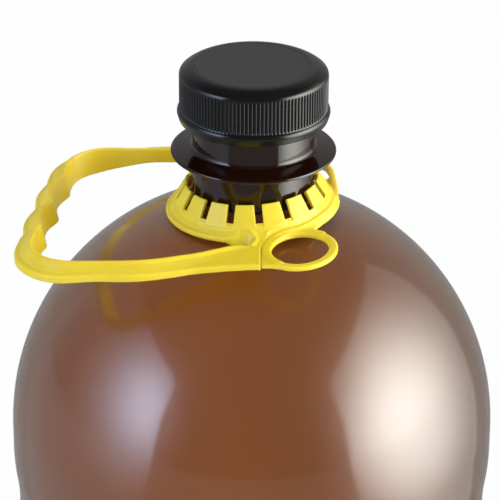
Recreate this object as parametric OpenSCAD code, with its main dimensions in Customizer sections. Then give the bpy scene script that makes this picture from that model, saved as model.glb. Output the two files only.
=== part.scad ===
// Large amber PET pressure bottle with a ribbed screw cap and a clip-on carry handle.
// Millimetres, +Z up, origin at the middle of the base. The handle's modules are drawn in
// the handle's own frame: its datum is the top face of the hinge plate, the bail points to -X.

/* [Bottle] */
// Outer diameter at the widest line
body_d = 203.5; // [190:0.5:220]
// Height of the widest line, where the dome starts
equator_h = 210; // [195:1:240]
// Wall of the blown body
body_wall_t = 1; // [0.8:0.1:1.6]
// Depth of the label panel below the full diameter
panel_depth = 2; // [1:0.1:3]
// Radius of the soft steps at both ends of the label panel
panel_step_r = 80; // [60:1:100]
// Plain band between the widest line and the label panel
band_h = 10; // [6:0.5:14]

/* [Base] */
// Number of feet
feet = 5; // [5:1:6]
// Distance of each foot pad from the axis
foot_ring_r = 64; // [60:1:66]
// Radius of the round end of a foot
foot_end_r = 15; // [13:0.5:17]
// Radius of a foot where it leaves the dome
foot_top_r = 43.5; // [40:0.5:45]
// Height cut off the round end of a foot to make a flat pad
pad_cut = 0.8; // [0.4:0.1:1]
// Height of the lowest point of the base dome over the floor
dome_gap = 7; // [5:0.5:10]

/* [Neck] */
// Outer diameter of the neck
neck_d = 50.1; // [48:0.1:51]
// Wall of the neck
neck_wall_t = 3.2; // [2.6:0.1:4]
// Height of the flange edge over the top of the dome's own sphere
flange_rise = 23.65; // [22:0.05:30]
// Diameter of the support flange
flange_d = 68; // [64:0.5:72]
// Thickness of the flange at its edge
flange_t = 1.5; // [1.2:0.1:2]
// Fall of each flange face from the neck to the edge
flange_fall = 1.4; // [0.8:0.1:1.8]
// Radius of the flare from the neck to the dome
flare_r = 18; // [16:0.5:20]
// Height of the sealing lip over the flange edge
lip_rise = 32.5; // [31.5:0.1:34]

/* [Thread] */
// Axial distance from one turn to the next
thread_pitch = 5; // [4.6:0.1:5.4]
// Height of the ridge on the neck
thread_h = 1.9; // [1.5:0.1:2]
// Turns of each ridge
thread_turns = 1.5; // [1.25:0.25:1.5]
// Width of a ridge at its foot
thread_foot = 2.4; // [2:0.1:2.5]
// Width of a ridge at its crest
thread_crest = 1.1; // [0.8:0.1:1.2]
// Gap between a crest and the wall that it faces
thread_gap = 0.4; // [0.35:0.05:0.5]

/* [Cap] */
// Wall of the cap between the thread side and the rib roots
cap_wall_t = 2.5; // [2.2:0.1:3]
// Height of a rib over its root
rib_h = 0.6; // [0.4:0.05:0.8]
// Number of grip ribs
ribs = 120; // [96:12:120]
// Length of the ribs
rib_len = 14; // [12:0.5:15]
// Thickness of the cap's top plate
cap_top_t = 2.8; // [2.4:0.1:3.4]
// Radius of the flat disc on top of the cap
cap_flat_r = 22.9; // [21:0.1:24]
// Height of the rounded shoulder between the ribs and the flat disc
cap_shoulder_h = 3.9; // [3.4:0.1:4.4]
// How far the plain bead under the ribs stands out past the ribs
bead_out = 0.9; // [0.6:0.1:1.2]
// Height of the plain bead
bead_h = 4.3; // [3.8:0.1:5]
// Thickness of the sealing disc
liner_t = 1.2; // [0.8:0.1:1.4]
// Play of the sealing disc on the lip and under the cap's top
liner_gap = 0.1; // [0.05:0.05:0.15]

/* [Collar] */
// How far the handle datum hangs under the flange edge
collar_drop = 25.2; // [24.6:0.1:25.8]
// Turn of the whole handle about the neck
handle_turn = -7.8; // [-30:0.1:30]
// Tilt of the loose collar, low on the bail side
collar_sag = 3.3; // [2:0.1:3.6]
// Inner radius at the finger tips
tip_r = 26.2; // [26:0.1:26.8]
// Height of the finger tips over the datum
tip_rise = 11.4; // [11:0.1:12]
// Outer radius of the cone at its foot
cone_foot_r = 33.9; // [33.6:0.1:34.2]
// Thickness of the cone and its fingers
cone_t = 1.4; // [1.2:0.1:1.6]
// Number of fingers
fingers = 16; // [14:1:18]
// Width of the slots between the fingers
slot_w = 3.1; // [2.6:0.1:3.6]
// Height of the slot bottoms over the datum
slot_rise = 5.3; // [4.6:0.1:6]
// Outer radius of the rim
rim_r = 36.1; // [35.8:0.1:37]
// Height of the rim bead over the datum
rim_rise = 1.4; // [1:0.1:1.8]
// Depth of the rim under the datum
rim_drop = 1.4; // [1:0.1:1.8]

/* [Bail hinge] */
// Distance of the hinge axis from the neck axis, away from the bail
hinge_x = 6.6; // [6:0.1:7.2]
// Half the width of a hinge neck
hinge_half_w = 2.4; // [2:0.1:2.6]
// Distance of the bail's end faces from the middle plane
hinge_y = 41.6; // [40.6:0.1:42.6]
// Thickness of the hinge plate
plate_t = 2.5; // [2:0.1:2.8]
// Running gap between the bail and the parts beside it
run_gap = 0.3; // [0.25:0.05:0.45]

/* [Bail] */
// Distance of the grip's inner face from the neck axis, at a crest between two fingers
grip_x = 83.8; // [78:0.2:92]
// Distance inside the bail from the middle plane to the front arm, at the grip corner
front_half_w = 59; // [57:0.5:63]
// The same to the rear arm: the resting bail is bent, with the rear arm pressed in
rear_half_w = 54; // [53:0.5:58]
// Radius of the inner grip corners
corner_r = 20; // [18:0.5:21]
// Width of the arms from the web to the lip, half way to the grip
arm_w = 9.4; // [8.5:0.1:11]
// Width at the grip corners
corner_w = 5.5; // [5:0.1:7]
// Width of the grip from the web to the lip, at a crest
grip_w = 8.4; // [7.4:0.2:10]
// Distance between two finger crests
finger_pitch = 25.4; // [23:0.2:26]
// Depth of the finger hollows on the inner face
hollow_depth = 3.4; // [2:0.1:4]
// Thickness of the web
web_t = 1.7; // [1.4:0.1:2.2]
// Fall of the flange from the web to the lip, half way along the arms
arm_fall = 1.6; // [1:0.1:2]
// Fall of the flange along the grip
grip_fall = 3.4; // [2.4:0.1:3.8]
// Depth of the web under the datum along the arms
arm_web_depth = 5.6; // [4.6:0.1:6]
// Depth of the web under the datum along the grip
grip_web_depth = 9.6; // [8:0.1:11]
// Thickness of the flange between the web and the lip
bail_flange_t = 1.8; // [1.4:0.1:2.2]

/* [Pull loop and strap] */
// Distance of the loop's middle from the middle plane
loop_y = 42; // [41:0.2:43]
// Distance of the loop's middle from the neck axis, away from the bail
loop_x = 24.8; // [24:0.2:25.6]
// Width of the finger hole
hole_w = 22.7; // [21:0.1:23]
// Length of the finger hole
hole_len = 28.4; // [26:0.2:30]
// Width of the loop's ring
ring_w = 3.9; // [3.4:0.1:4.2]
// Thickness of the loop's ring
ring_t = 2.2; // [1.8:0.1:2.6]
// How much further out the score line lies at the plate's outer corner than at its inner one
score_lean = 2; // [1:0.1:3]
// Width of the score line between the bail plate and the loop
score_w = 0.7; // [0.6:0.05:0.9]

/* [Hidden] */

amber = [0.48, 0.27, 0.17];
dark_amber = [0.12, 0.07, 0.06];
black = [0.1, 0.1, 0.1];
yellow = [0.92, 0.8, 0.22];

arc_steps = 30;

body_r = body_d / 2;
flange_z = equator_h + body_r + flange_rise;
neck_r = neck_d / 2;
flange_r = flange_d / 2;
bore_r = neck_r - neck_wall_t;
lip_z = flange_z + lip_rise;

// ---- small helpers ------------------------------------------------------------------

// Points of an arc around c, from angle a0 to a1
function arc(c, r, a0, a1, n = arc_steps) =
    [for (i = [0:n]) c + r * [cos(a0 + (a1 - a0) * i / n), sin(a0 + (a1 - a0) * i / n)]];

function mix(a, b, t) = a + (b - a) * t;
function unit(v) = v / norm(v);
function smooth(t) = let (c = min(1, max(0, t))) c * c * (3 - 2 * c);

// ---- bottle -------------------------------------------------------------------------

// Centre height of the flare circle that touches a neck of radius rn and a dome of radius rs
function flare_z(rn, rs, rf) = equator_h + sqrt(pow(rs + rf, 2) - pow(rn + rf, 2));

// Angle at the dome's centre where the flare meets the dome
function flare_a(rn, rs, rf) = acos((rn + rf) / (rs + rf));

// The flare between a height z and the dome, and the part of it above that height
function flare_below(rn, rs, rf, z) =
    arc([rn + rf, flare_z(rn, rs, rf)], rf, 180 + asin((flare_z(rn, rs, rf) - z) / rf),
        180 + flare_a(rn, rs, rf));
function flare_above(rn, rs, rf, z) =
    arc([rn + rf, flare_z(rn, rs, rf)], rf, 180, 180 + asin((flare_z(rn, rs, rf) - z) / rf), 4);

// The dome from the flare down to the widest line
function dome_side(rn, rs, rf) = arc([0, equator_h], rs, flare_a(rn, rs, rf), 0);

inner_flare_r = flare_r + neck_wall_t;
// The straight neck ends where its outer face starts to flare
neck_foot_z = flare_z(neck_r, body_r, flare_r);
revolve_steps = 128;

// The base dome is a half sphere of the body's own radius
base_z = dome_gap + body_r;
// The soft step turns in and back again, each time through this angle
step_a = acos(1 - panel_depth / (2 * panel_step_r));
step_h = 2 * panel_step_r * sin(step_a);

// Outline of one soft step at the top of the panel, for a wall face of radius r
function step_down(r) = concat(
    arc([r - panel_step_r, equator_h - band_h], panel_step_r, 0, -step_a, 8),
    arc([r - panel_depth + panel_step_r, equator_h - band_h - step_h], panel_step_r,
        180 - step_a, 180, 8));

// The whole side of the body for a face of radius r, from the widest line to the base dome.
// The step at the foot of the panel is the upper one turned over.
function body_side(r) = concat(
    [[r, equator_h]],
    step_down(r),
    reversed([for (q = step_down(r)) [q[0], equator_h + base_z - q[1]]]),
    [[r, base_z]]);

function reversed(list) = [for (i = [len(list) - 1:-1:0]) list[i]];

module neck_finish() color(dark_amber) union() {
    rotate_extrude($fn = revolve_steps) polygon(concat(
        [[bore_r, lip_z], [neck_r, lip_z], [neck_r, neck_foot_z]],
        reversed(flare_above(bore_r, body_r - body_wall_t, inner_flare_r, neck_foot_z))));
    translate([0, 0, flange_z])
        thread(neck_r - 0.3, neck_r + thread_h, neck_thread_z, 0);
}

// Both faces of the flange fall towards a rounded edge
module support_flange() color(dark_amber) rotate_extrude($fn = revolve_steps) {
    edge_r = flange_t / 2;
    polygon(concat(
        [[neck_r, flange_z + flange_fall]],
        reversed(arc([flange_r - edge_r, flange_z - edge_r], edge_r, -90, 90, 8)),
        [[neck_r, flange_z - flange_t - flange_fall]]));
}

module neck_flare() color(amber) rotate_extrude($fn = revolve_steps) polygon(concat(
    flare_below(neck_r, body_r, flare_r, neck_foot_z),
    reversed(flare_below(bore_r, body_r - body_wall_t, inner_flare_r, neck_foot_z))));

module shoulder_dome() color(amber) rotate_extrude($fn = revolve_steps)
    polygon(concat(
        dome_side(neck_r, body_r, flare_r),
        reversed(dome_side(bore_r, body_r - body_wall_t, inner_flare_r))));

module body_wall() color(amber) rotate_extrude($fn = revolve_steps)
    polygon(concat(body_side(body_r), reversed(body_side(body_r - body_wall_t))));

// The feet end just under the widest line of the base dome
foot_top_z = base_z * 0.9;
foot_mid_z = foot_end_r - pad_cut;
// Their outer faces share one drawn-in side that passes the round ends at this distance
foot_side_gap = 1;
foot_side_in = body_r - foot_ring_r - foot_end_r - foot_side_gap;
foot_side_h = base_z - foot_mid_z;
foot_side_r = (pow(foot_side_h, 2) + pow(foot_side_in, 2)) / (2 * foot_side_in);

// Solid form of the base for a face that lies inset under the outer skin, flat at the floor
module base_form(inset) {
    intersection() {
        union() {
            translate([0, 0, base_z]) sphere(r = body_r - inset, $fn = 128);
            for (i = [0:feet - 1])
                rotate([0, 0, 360 / feet * (i + 0.5)]) foot_form(inset);
        }
        translate([0, 0, inset]) cylinder(r = body_d, h = base_z);
    }
}

// A foot is a cone that widens upwards into the dome, with a round end
module foot_form(inset) intersection() {
    translate([foot_ring_r, 0, foot_mid_z]) {
        sphere(r = foot_end_r - inset, $fn = 48);
        cylinder(r1 = foot_end_r - inset, r2 = foot_top_r - inset, h = foot_top_z - foot_mid_z,
                 $fn = 64);
    }
    rotate_extrude($fn = 128) polygon(concat(
        [[0, -1], [body_r - foot_side_r + foot_side_r * cos(32) - inset, -1]],
        arc([body_r - foot_side_r - inset, base_z], foot_side_r,
            -asin(base_z / foot_side_r), 0, 12),
        [[0, base_z]]));
}

module petaloid_base() color(amber) difference() {
    base_form(0);
    base_form(body_wall_t);
}

// ---- thread -------------------------------------------------------------------------

thread_segments = 40;
thread_mid = lip_rise - 4;
neck_thread_z = thread_mid - thread_pitch * thread_turns;

// A ridge of trapezoid section that climbs one pitch a turn and fades out at both ends.
// foot_r is the side that is rooted in the wall, z0 the height of its start at angle 0.
module thread(foot_r, crest_r, z0, phase) {
    steps = ceil(thread_segments * thread_turns);
    rings = [for (i = [0:steps])
        let (a = 360 * thread_turns * i / steps,
             z = z0 + thread_pitch * (a + phase) / 360,
             fade = smooth(min(a, 360 * thread_turns - a) / 30),
             crest = mix(foot_r, crest_r, max(0.08, fade)))
        [for (p = [[foot_r, -thread_foot / 2], [crest, -thread_crest / 2],
                   [crest, thread_crest / 2], [foot_r, thread_foot / 2]])
            [p[0] * cos(a + phase), p[0] * sin(a + phase), z + p[1]]]];
    sweep(rings, crest_r < foot_r);
}

// Closed solid through rings of equally many points
module sweep(rings, flip = false) {
    n = len(rings[0]);
    last = len(rings) - 1;
    sides = [for (i = [0:last - 1]) for (j = [0:n - 1])
        let (a = i * n + j, b = i * n + (j + 1) % n) for (t = [[a, b, b + n], [a, b + n, a + n]])
            flip ? reversed(t) : t];
    ends = [flip ? [for (j = [0:n - 1]) j] : [for (j = [n - 1:-1:0]) j],
            flip ? [for (j = [n - 1:-1:0]) last * n + j] : [for (j = [0:n - 1]) last * n + j]];
    polyhedron([for (r = rings) for (p = r) p], concat(sides, ends), convexity = 6);
}

// ---- cap ----------------------------------------------------------------------------

cap_bore_r = neck_r + thread_h + thread_gap;
cap_root_r = cap_bore_r + cap_wall_t;
cap_rib_r = cap_root_r + rib_h;
cap_in_z = lip_z + liner_t + 2 * liner_gap;
cap_top_z = cap_in_z + cap_top_t;
rib_top_z = cap_top_z - cap_shoulder_h;
bead_top_z = rib_top_z - rib_len;
cap_foot_z = bead_top_z - bead_h;
bead_r = cap_rib_r + bead_out;
bead_round_r = bead_h * 0.42;
cap_corner = 1.2;

// Arc that leaves the flat disc level and reaches the rib roots
shoulder_w = cap_root_r - cap_flat_r;
shoulder_r = (pow(shoulder_w, 2) + pow(cap_shoulder_h, 2)) / (2 * cap_shoulder_h);
shoulder_a = asin(shoulder_w / shoulder_r);

module cap_shell() rotate_extrude($fn = 128)
    polygon(concat(
        [[0, cap_in_z], [0, cap_top_z]],
        arc([cap_flat_r, cap_top_z - shoulder_r], shoulder_r, 90, 90 - shoulder_a, 10),
        [[cap_root_r, bead_top_z + 0.6]],
        arc([bead_r - bead_round_r, bead_top_z - bead_round_r], bead_round_r, 50, -20, 6),
        [[cap_root_r + 0.2, cap_foot_z], [cap_bore_r, cap_foot_z],
         [cap_bore_r, cap_in_z - cap_corner], [cap_bore_r - cap_corner, cap_in_z]]));

// Ring of grip ribs: flat roots, rounded crests
module rib_band() {
    pitch = 360 / ribs;
    translate([0, 0, bead_top_z]) difference() {
        linear_extrude(height = rib_len, convexity = 4)
            polygon([for (i = [0:ribs - 1]) for (p = [[-0.34, 0], [-0.2, 0.8], [0, 1], [0.2, 0.8],
                                                     [0.34, 0]])
                let (a = (i + p[0]) * pitch, r = cap_root_r - 0.05 + (rib_h + 0.05) * p[1])
                    [r * cos(a), r * sin(a)]]);
        translate([0, 0, -1]) cylinder(r = cap_root_r - 0.5, h = rib_len + 2, $fn = 128);
    }
}

module screw_cap() color(black) union() {
    cap_shell();
    rib_band();
    translate([0, 0, flange_z])
        thread(cap_bore_r + 0.3, cap_bore_r - thread_h, neck_thread_z - thread_pitch / 2, 0);
}

module cap_liner() color([0.85, 0.85, 0.82])
    translate([0, 0, lip_z + liner_gap]) cylinder(r = cap_bore_r - 1.5, h = liner_t, $fn = 96);

// ---- handle: collar -----------------------------------------------------------------

// Puts what is drawn in the handle's frame where the handle sits on the neck
module on_neck() translate([0, 0, flange_z - collar_drop]) rotate([0, -collar_sag, handle_turn])
    children();

cone_foot_h = 0.9;
tip_out_r = tip_r + cone_t * 0.85;
score_x = hinge_x + hinge_half_w + score_w;

// The rim runs round the bail side, the strap takes its place on the other side
rim_from = 34;
rim_to = 360 - acos((score_x - score_w) / rim_r);
strap_from = -acos(score_x / cone_foot_r);
strap_to = 8;

module snap_collar() color(yellow) on_neck() {
    difference() {
        rotate_extrude($fn = 96) polygon([
            [cone_foot_r - 0.4, -rim_drop], [cone_foot_r, -rim_drop], [cone_foot_r, cone_foot_h],
            [tip_out_r, tip_rise], [tip_r, tip_rise - 0.6],
            [cone_foot_r - 1.5, cone_foot_h - cone_t * 0.8]]);
        for (i = [0:fingers - 1]) rotate([0, 0, 360 / fingers * (i + 0.5) - 88])
            translate([tip_r - 3, -slot_w / 2, slot_rise]) cube([12, slot_w, tip_rise]);
    }
    rotate([0, 0, rim_from]) rotate_extrude(angle = rim_to - rim_from, $fn = 96) rim_section();
}

// Rim: a plain floor, then a rounded bead at the edge
module rim_section() {
    bead = 0.8;
    polygon(concat(
        [[cone_foot_r - 0.5, -rim_drop], [rim_r - bead, -rim_drop]],
        arc([rim_r - bead, -rim_drop + bead], bead, -90, 0, 4),
        arc([rim_r - bead, rim_rise - bead], bead, 0, 180, 8),
        [[cone_foot_r + 0.5, 0.3], [cone_foot_r - 0.5, 0.5]]));
}

module both_sides() {
    children();
    mirror([0, 1, 0]) children();
}

module hinge_necks() color(yellow) on_neck() both_sides() hinge_neck();

// Short twisting strip from the rim to the bail's end face, with the round wall that closes
// the slot between rim and arm and carries the rim's bead over to the arm's ridge
module hinge_neck() {
    end_y = hinge_y - run_gap;
    strip_x = hinge_x - hinge_half_w;
    difference() {
        union() {
            translate([strip_x, -end_y, -plate_t])
                cube([2 * hinge_half_w, end_y - rim_r + 3, plate_t]);
            translate([strip_x + 0.8 - turn_r, -turn_y, 0]) rotate([0, 0, -90])
                rotate_extrude(angle = 180, $fn = 64) turn_section();
        }
        translate([0, 0, -10]) cylinder(r = rim_r, h = 20, $fn = 96);
        translate([-20, -end_y - 20, -10]) cube([50, 20, 20]);
    }
}

// Round wall at the end of the slot: thickness, depth under the datum, height over it
slot_wall_t = 1.7;
slot_wall_drop = 3.4;
slot_wall_rise = 0.8;
// Its middle line turns from the rim's bead to the arm's ridge
turn_y = (rim_r + hinge_y) / 2 - 0.2;
turn_r = (hinge_y - rim_r) / 2 + 0.5;

module turn_section() {
    half = slot_wall_t / 2;
    polygon(concat(
        [[turn_r - half, -slot_wall_drop], [turn_r + half, -slot_wall_drop]],
        arc([turn_r, slot_wall_rise - half], half, 0, 180, 8)));
}

// ---- handle: tear strap and pull loop -----------------------------------------------

strap_w = rim_r - cone_foot_r;
strap_mid_r = rim_r - strap_w / 2;
// The loose part runs back and a little inwards, turns and ends at the rear hinge plate
strap_end_y = 46;
strap_lean = 6.5;
strap_turn_r = 10;
// The strap is deeper than the rim
strap_drop = rim_drop + 0.6;

module tear_strap() color(yellow) on_neck() {
    rotate([0, 0, strap_from]) rotate_extrude(angle = strap_to - strap_from, $fn = 96)
        polygon([[cone_foot_r, -rim_drop], [rim_r, -strap_drop], [rim_r, rim_rise - 0.4],
                 [rim_r - 0.4, rim_rise], [cone_foot_r + 1, rim_rise], [cone_foot_r + 0.6, 0.2],
                 [cone_foot_r, 0]]);
    translate([0, 0, -strap_drop]) linear_extrude(height = rim_rise + strap_drop)
        strip(round_path([
            [strap_mid_r * cos(strap_to), strap_mid_r * sin(strap_to)],
            [strap_mid_r * cos(strap_to) - strap_lean, strap_end_y],
            [score_x, strap_end_y]], [0, strap_turn_r, 0]), strap_w);
}

// Polygon of width w along a path of points
module strip(path, w) {
    last = len(path) - 1;
    normals = [for (i = [0:last])
        let (d = unit(path[min(last, i + 1)] - path[max(0, i - 1)])) [-d[1], d[0]]];
    polygon(concat([for (i = [0:last]) path[i] + normals[i] * w / 2],
        [for (i = [last:-1:0]) path[i] - normals[i] * w / 2]));
}

// Path through corner points, each corner rounded with its own radius by n + 1 points
function round_path(corners, radii, n = 12) = [for (i = [0:len(corners) - 1])
    for (p = radii[i] == 0 ? [corners[i]]
        : rounded(corners[i - 1], corners[i], corners[i + 1], radii[i], n)) p];

function rounded(a, b, c, r, n) =
    let (u = unit(b - a), v = unit(c - b),
         turn = acos(u * v), side = sign(u[0] * v[1] - u[1] * v[0]),
         start = b - u * r * tan(turn / 2),
         centre = start + side * r * [-u[1], u[0]],
         from = atan2(start[1] - centre[1], start[0] - centre[0]))
    arc(centre, r, from, from + side * turn, n);

loop_straight = (hole_len - hole_w) / 2;
ring_mid_r = (hole_w + ring_w) / 2;
// The flat tab between score line, loop and strap: end of its straight near edge, then the
// corners of its far edge beside the strap
tab_end_x = 17.5;
tab_far = [[loop_x + ring_mid_r * 0.5, -loop_y + ring_mid_r], [34, -22], [30, -10],
           [score_x, -28]];
// A notch parts the loop from the strap beyond this angle
notch_a = 35;

module pull_loop() color(yellow) on_neck() difference() {
    union() {
        translate([loop_x, -loop_y, 0]) for (side = [-1, 1]) {
            translate([0, side * loop_straight, 0]) rotate([0, 0, side > 0 ? 0 : 180])
                rotate_extrude(angle = 180, $fn = 96) translate([ring_mid_r, 0]) ring_section();
            translate([side * ring_mid_r, loop_straight, 0]) rotate([90, 0, 0])
                linear_extrude(height = 2 * loop_straight) ring_section();
        }
        translate([0, 0, -ring_t]) linear_extrude(height = ring_t - 0.2) tab_plan();
    }
    translate([0, 0, -10]) linear_extrude(height = 20) before_score();
    translate([0, 0, -10]) cylinder(r = rim_r, h = 20, $fn = 96);
}

// The tab that fills the corner between score line, loop and strap, clear of the finger hole
module tab_plan() difference() {
    polygon(concat([[hinge_x, -bail_end_y], [tab_end_x, -bail_end_y], [loop_x, -loop_y]],
                   tab_far));
    for (side = [-1, 1]) translate([loop_x, -loop_y + side * loop_straight])
        circle(d = hole_w + 0.6, $fn = 96);
    translate([loop_x, -loop_y]) square([hole_w + 0.6, 2 * loop_straight], center = true);
    polygon([[rim_r * cos(notch_a), -rim_r * sin(notch_a)], [50, -60], [60, 0], [25, 0]]);
}

// What lies on the bail's side of the score line
module before_score() {
    slope = score_lean / (bail_end_y - hinge_y);
    reach = 30;
    polygon([[score_x - slope * reach, -hinge_y + reach], [-reach, -hinge_y + reach],
             [-reach, -hinge_y - reach], [score_x + slope * reach, -hinge_y - reach]]);
}

// Half section of the ring: flat underside, rounded top
module ring_section() {
    round_r = 0.9;
    polygon(concat(
        [[-ring_w / 2, -ring_t], [ring_w / 2, -ring_t]],
        arc([ring_w / 2 - round_r, -round_r], round_r, 0, 90, 4),
        arc([-ring_w / 2 + round_r, -round_r], round_r, 90, 180, 4)));
}

// ---- handle: bail -------------------------------------------------------------------

// Outer corner of the hinge plate
bail_end_y = 58.3;
lobe_x = grip_x + hollow_depth;
// The last hollows, beside the corners, are shallower by this much
end_in = 2;
// The lip follows the hollows only in part
lip_wave = 0.6;
lip_x = grip_x + grip_w + hollow_depth * lip_wave;
lip_t = 1.5;
lip_h = 2.7;
ridge_h = 0.6;
web_lean = 1.6;
outer_corner_r = corner_r + 8;
// Where an arm of a given half width ends and the grip begins, past the ends of both corner arcs
corner_reach = 1.1;
function grip_end(half_w) =
    min(half_w - corner_r * corner_reach, half_w + corner_w - outer_corner_r * corner_reach) - 0.5;

arm_steps = 8;
grip_steps = 72;

// The arms bend away from the neck here, and run nearly straight from the second bend on
neck_bend_x = -16;
mid_bend_x = -36;
mid_bend_y = 57;
// The rear arm is pressed in by less at the second bend than at the corner
rear_bow = 0.3;
function arm_bends(last) = [0, 10, 30, 60, last, 0];
function mid_y(half_w) = mid_bend_y - (front_half_w - half_w) * rear_bow;

// Inner and outer edge of one arm in plan, from the hinge plate to the grip
function arm_inner(half_w) = let (end = grip_end(half_w)) round_path([
    [hinge_x + hinge_half_w, -hinge_y], [-2, -hinge_y], [neck_bend_x, -hinge_y - 7.9],
    [mid_bend_x, -mid_y(half_w)], [end_in - lobe_x, -half_w],
    [-lobe_x + crest(end), -end]], arm_bends(corner_r), arm_steps);
function arm_outer(half_w) = let (end = grip_end(half_w)) round_path([
    [hinge_x + hinge_half_w + score_lean, -bail_end_y], [-3, -bail_end_y - 0.3],
    [neck_bend_x, -bail_end_y - 1.7], [mid_bend_x - 2, -mid_y(half_w) - arm_w],
    [lip_wave * end_in - lip_x, -half_w - corner_w], [-lip_x + lip_wave * crest(end), -end]],
    arm_bends(outer_corner_r), arm_steps);

// How far the grip's face stands in at a place y: crests between the finger hollows
function crest(y) = let (wave = hollow_depth * (1 - sqrt(pow(sin(180 * y / finger_pitch), 2)
                                                        + 0.01) / sqrt(1.01)),
                         end = end_in * smooth((abs(y) - finger_pitch) / (0.15 * finger_pitch)))
    abs(y) > 1.5 * finger_pitch ? end_in : max(wave, end);

function grip_places() =
    [for (i = [0:grip_steps]) mix(-grip_end(front_half_w), grip_end(rear_half_w), i / grip_steps)];
function grip_inner() = [for (y = grip_places()) [-lobe_x + crest(y), y]];
function grip_outer() = [for (y = grip_places()) [-lip_x + lip_wave * crest(y), y]];

// Directions that point out of the bail, square to a path that starts and ends along given ones
function outward(path, start, end) = let (last = len(path) - 1) [for (i = [0:last])
    let (d = i == 0 ? start : i == last ? end : unit(path[i + 1] - path[i - 1])) [-d[1], d[0]]];

// One cross section: a web at the inner edge, a flange that falls outwards and a lip.
// At a place x, k goes from 0 at the flat hinge plate to 1 on the arm, m from 0 on the arm to 1
// on the grip; the flange falls first slowly, then faster round the corner.
function bail_section(a, na, b, nb, x) =
    let (k = smooth((hinge_x - x) / 8),
         m = smooth((-x - 50) / 30),
         fall = mix(mix(0.05, arm_fall, smooth((hinge_x - x) / 30)), grip_fall,
                    smooth((-x - 44) / 24)),
         ridge = mix(0.15, ridge_h, k),
         top = -0.2 * k,
         edge = -fall,
         flange = mix(plate_t - 0.15, bail_flange_t, k),
         web = mix(mix(plate_t, arm_web_depth, k), grip_web_depth, m),
         lip = fall + mix(plate_t - 0.05, lip_h, k),
         lean = web_lean * m,
         inner = [[0.5, ridge], [1.2, ridge], [web_t + 1, top]],
         outer = [[-1, edge], [-0.3, edge - 0.25], [0, edge - 0.9], [0, -lip],
                  [-lip_t, -lip], [-lip_t, edge - flange]],
         under = [[web_t, top - flange], [web_t - lean, -web], [-lean, -web], [0, ridge - 0.6]])
    concat([for (p = inner) place(a, na, p)], [for (p = outer) place(b, nb, p)],
           [for (p = under) place(a, na, p)]);

function place(at, out, p) = [at[0] + out[0] * p[0], at[1] + out[1] * p[0], p[1]];

module bail_sweep(inner, outer, start) {
    na = outward(inner, start, [0, 1]);
    nb = outward(outer, start, [0, 1]);
    sweep([for (i = [0:len(inner) - 1])
        bail_section(inner[i], na[i], outer[i], nb[i], inner[i][0])], true);
}

// The arms start square to the score line
plate_end = unit([hinge_y - bail_end_y, -score_lean]);
module front_arm() color(yellow) on_neck()
    bail_sweep(arm_inner(front_half_w), arm_outer(front_half_w), plate_end);
module rear_arm() color(yellow) on_neck() mirror([0, 1, 0])
    bail_sweep(arm_inner(rear_half_w), arm_outer(rear_half_w), plate_end);
module finger_grip() color(yellow) on_neck() bail_sweep(grip_inner(), grip_outer(), [0, 1]);

neck_finish();
support_flange();
neck_flare();
shoulder_dome();
body_wall();
petaloid_base();
screw_cap();
cap_liner();
snap_collar();
hinge_necks();
tear_strap();
pull_loop();
front_arm();
rear_arm();
finger_grip();
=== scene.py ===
"""Looks of a large amber PET bottle with a ribbed screw cap and a yellow carry handle.

Sizes are in millimetres until a mesh is made. The handle is drawn in its own frame, whose
datum is the top face of the hinge plates, with the bail to -X, and is then set on the neck.
"""
import math

import bpy
import numpy as np
from mathutils import Matrix, Vector

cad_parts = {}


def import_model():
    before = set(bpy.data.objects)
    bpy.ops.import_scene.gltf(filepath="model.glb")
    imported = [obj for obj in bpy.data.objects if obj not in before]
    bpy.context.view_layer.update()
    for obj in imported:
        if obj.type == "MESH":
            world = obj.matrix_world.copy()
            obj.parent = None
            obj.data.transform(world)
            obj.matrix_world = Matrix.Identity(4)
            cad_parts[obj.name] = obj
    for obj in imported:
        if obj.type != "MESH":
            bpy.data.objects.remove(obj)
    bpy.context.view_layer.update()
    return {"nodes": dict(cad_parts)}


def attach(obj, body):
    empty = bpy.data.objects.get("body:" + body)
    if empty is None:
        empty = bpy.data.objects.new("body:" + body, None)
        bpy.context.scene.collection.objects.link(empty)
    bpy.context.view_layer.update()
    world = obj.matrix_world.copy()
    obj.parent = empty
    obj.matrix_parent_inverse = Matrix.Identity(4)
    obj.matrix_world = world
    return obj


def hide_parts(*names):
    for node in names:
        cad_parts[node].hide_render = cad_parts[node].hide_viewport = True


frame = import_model()
NODES = frame["nodes"]
MM = 0.001

# Bottle
BODY_R = 101.75
EQUATOR_Z = 210.0
FLANGE_Z = 335.4
NECK_R = 25.05
BORE_R = 21.85
FLARE_R = 18.0
LIP_Z = 367.9
BASE_Z = 108.75
WALL = 1.0

# Handle: height of its datum, its tilt, and its turn about the neck
DATUM_Z = FLANGE_Z - 25.2
SAG = math.radians(3.3)
TURN = math.radians(-7.8)
# Hinge plates: inner and outer edge, end face, and how far the score line leans outwards
HINGE_Y, PLATE_Y, HINGE_END_X, SCORE_LEAN = 41.6, 58.3, 9.0, 2.0


# ---- small helpers ------------------------------------------------------------------------

def rgb(code):
    """Linear colour of an sRGB hex code."""
    parts = [int(code[i:i + 2], 16) / 255 for i in (1, 3, 5)]
    return tuple(c / 12.92 if c <= 0.04045 else ((c + 0.055) / 1.055) ** 2.4 for c in parts) + (1.0,)


def smooth(t):
    """0 below 0, 1 above 1, and 3t^2 - 2t^3 between."""
    t = np.clip(t, 0, 1)
    return t * t * (3 - 2 * t)


def mix(a, b, t):
    return a + (b - a) * t


def smin(a, b, k):
    """Smaller of two distances, rounded over a width k where they meet."""
    h = np.clip(0.5 + 0.5 * (b - a) / k, 0, 1)
    return b + (a - b) * h - k * h * (1 - h)


def smax(a, b, k):
    return -smin(-a, -b, k)


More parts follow.
